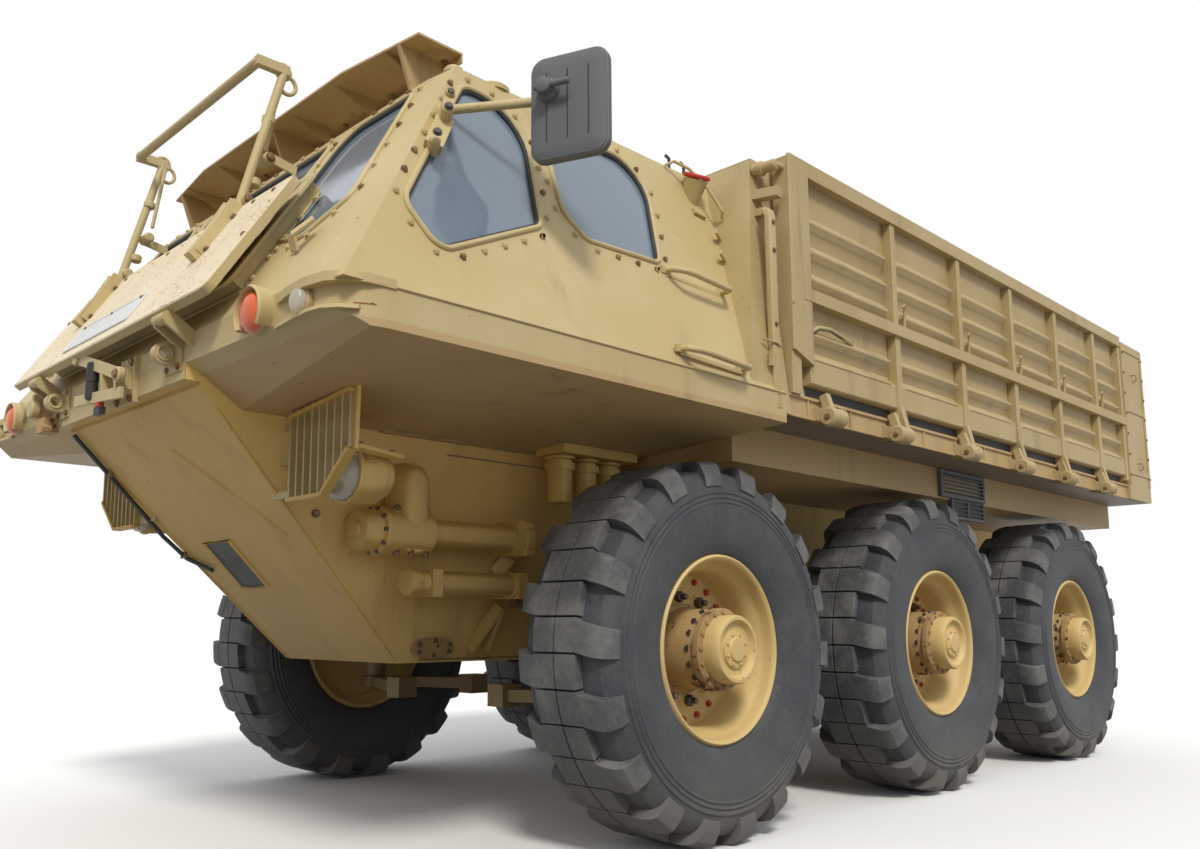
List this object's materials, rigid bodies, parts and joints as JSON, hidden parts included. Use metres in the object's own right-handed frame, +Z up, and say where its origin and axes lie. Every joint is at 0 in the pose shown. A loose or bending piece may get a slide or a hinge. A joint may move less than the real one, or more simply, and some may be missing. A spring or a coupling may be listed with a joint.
{
  "type": "amphibious six-wheeled military cargo truck",
  "caption": "High-mobility amphibious cargo truck with a boat-shaped hull, sloped glazed cab, drop-side load bed, trim vane and steered front wheels.",
  "frame": {"origin": "on the ground under the middle of the overall length and width", "axes": "+X forward, +Y to the vehicle left, +Z up"},
  "size_m": [5.9336, 2.8964, 2.462],
  "materials": {
    "sand_paint": "semi-matt, worn",
    "tyre": "matt, scuffed",
    "glass": "clear",
    "engine_iron": "matt",
    "seat_cover": "matt",
    "lamp": "glossy",
    "mirror_shell": "matt",
    "dash_paint": "matt"
  },
  "bodies": {
    "hull": {"bed_floor": "sand_paint", "bed_posts": "sand_paint", "cab_belt": "sand_paint", "cab_floor": "sand_paint", "cab_front": "sand_paint", "cab_glass": "glass", "cab_roof": "sand_paint", "cab_side_left": "sand_paint", "cab_side_right": "sand_paint", "driver_controls": "dash_paint", "engine": "engine_iron", "grab_handles": "sand_paint", "headboard": "sand_paint", "headlamp_guards": "sand_paint", "hull_sponsons": "sand_paint", "hull_tub": "sand_paint", "lamps": "lamp", "mirrors": "mirror_shell", "rear_hub_carriers": "sand_paint", "seats": "seat_cover", "side_grilles": "sand_paint", "suspension_arms": "sand_paint", "suspension_tubes": "sand_paint", "tow_fittings": "sand_paint", "vane_seat": "sand_paint", "visor": "sand_paint"},
    "trim_vane": {"trim_vane": "sand_paint", "vane_frame": "sand_paint"},
    "drop_side_left": {"drop_side_left": "sand_paint"},
    "drop_side_right": {"drop_side_right": "sand_paint"},
    "tailgate": {"tailgate": "sand_paint"},
    "hatch_left": {"hatch_left": "sand_paint"},
    "hatch_right": {"hatch_right": "sand_paint"},
    "knuckle_front_left": {"knuckle_front_left": "sand_paint"},
    "wheel_front_left": {"tyre_front_left": "tyre", "rim_front_left": "sand_paint"},
    "knuckle_front_right": {"knuckle_front_right": "sand_paint"},
    "wheel_front_right": {"tyre_front_right": "tyre", "rim_front_right": "sand_paint"},
    "knuckle_second_left": {"knuckle_second_left": "sand_paint"},
    "wheel_second_left": {"tyre_second_left": "tyre", "rim_second_left": "sand_paint"},
    "knuckle_second_right": {"knuckle_second_right": "sand_paint"},
    "wheel_second_right": {"tyre_second_right": "tyre", "rim_second_right": "sand_paint"},
    "wheel_rear_left": {"tyre_rear_left": "tyre", "rim_rear_left": "sand_paint"},
    "wheel_rear_right": {"tyre_rear_right": "tyre", "rim_rear_right": "sand_paint"}
  },
  "joints": [
    {"name": "steer_front_left", "type": "hinge", "parent": "hull", "child": "knuckle_front_left", "pos_m": [1.34518, 0.8, 0.615], "axis": [0, 0, 1], "range_deg": [-20, 20]},
    {"name": "steer_front_right", "type": "hinge", "parent": "hull", "child": "knuckle_front_right", "pos_m": [1.34518, -0.8, 0.615], "axis": [0, 0, 1], "range_deg": [-20, 20]},
    {"name": "steer_second_left", "type": "hinge", "parent": "hull", "child": "knuckle_second_left", "pos_m": [-0.17882, 0.8, 0.615], "axis": [0, 0, 1], "range_deg": [-10.4, 10.4]},
    {"name": "steer_second_right", "type": "hinge", "parent": "hull", "child": "knuckle_second_right", "pos_m": [-0.17882, -0.8, 0.615], "axis": [0, 0, 1], "range_deg": [-10.4, 10.4]},
    {"name": "spin_front_left", "type": "hinge", "parent": "knuckle_front_left", "child": "wheel_front_left", "pos_m": [1.34518, 1.02, 0.615], "axis": [0, 1, 0], "continuous": true},
    {"name": "spin_front_right", "type": "hinge", "parent": "knuckle_front_right", "child": "wheel_front_right", "pos_m": [1.34518, -1.02, 0.615], "axis": [0, 1, 0], "continuous": true},
    {"name": "spin_second_left", "type": "hinge", "parent": "knuckle_second_left", "child": "wheel_second_left", "pos_m": [-0.17882, 1.02, 0.615], "axis": [0, 1, 0], "continuous": true},
    {"name": "spin_second_right", "type": "hinge", "parent": "knuckle_second_right", "child": "wheel_second_right", "pos_m": [-0.17882, -1.02, 0.615], "axis": [0, 1, 0], "continuous": true},
    {"name": "spin_rear_left", "type": "hinge", "parent": "hull", "child": "wheel_rear_left", "pos_m": [-1.70282, 1.02, 0.615], "axis": [0, 1, 0], "continuous": true},
    {"name": "spin_rear_right", "type": "hinge", "parent": "hull", "child": "wheel_rear_right", "pos_m": [-1.70282, -1.02, 0.615], "axis": [0, 1, 0], "continuous": true},
    {"name": "drop_side_left_hinge", "type": "hinge", "parent": "hull", "child": "drop_side_left", "pos_m": [-0.64882, 1.345, 1.41], "axis": [-1, 0, 0], "range_deg": [0, 175]},
    {"name": "drop_side_right_hinge", "type": "hinge", "parent": "hull", "child": "drop_side_right", "pos_m": [-0.64882, -1.345, 1.41], "axis": [-1, 0, 0], "range_deg": [-175, 0]},
    {"name": "tailgate_hinge", "type": "hinge", "parent": "hull", "child": "tailgate", "pos_m": [-2.74482, 0, 1.41], "axis": [0, -1, 0], "range_deg": [0, 90]},
    {"name": "hatch_left_hinge", "type": "hinge", "parent": "hull", "child": "hatch_left", "pos_m": [1.31518, 0.49, 2.315], "axis": [0, -1, 0], "range_deg": [0, 105]},
    {"name": "hatch_right_hinge", "type": "hinge", "parent": "hull", "child": "hatch_right", "pos_m": [1.31518, -0.49, 2.315], "axis": [0, -1, 0], "range_deg": [0, 105]},
    {"name": "trim_vane_hinge", "type": "hinge", "parent": "hull", "child": "trim_vane", "pos_m": [2.94982, 0, 1.51789], "axis": [0, 1, 0], "range_deg": [0, 110]}
  ],
  "couplings": [
    {"joint": "steer_front_right", "follows": "steer_front_left", "ratio": 1},
    {"joint": "steer_second_left", "follows": "steer_front_left", "ratio": 0.52},
    {"joint": "steer_second_right", "follows": "steer_front_left", "ratio": 0.52}
  ]
}
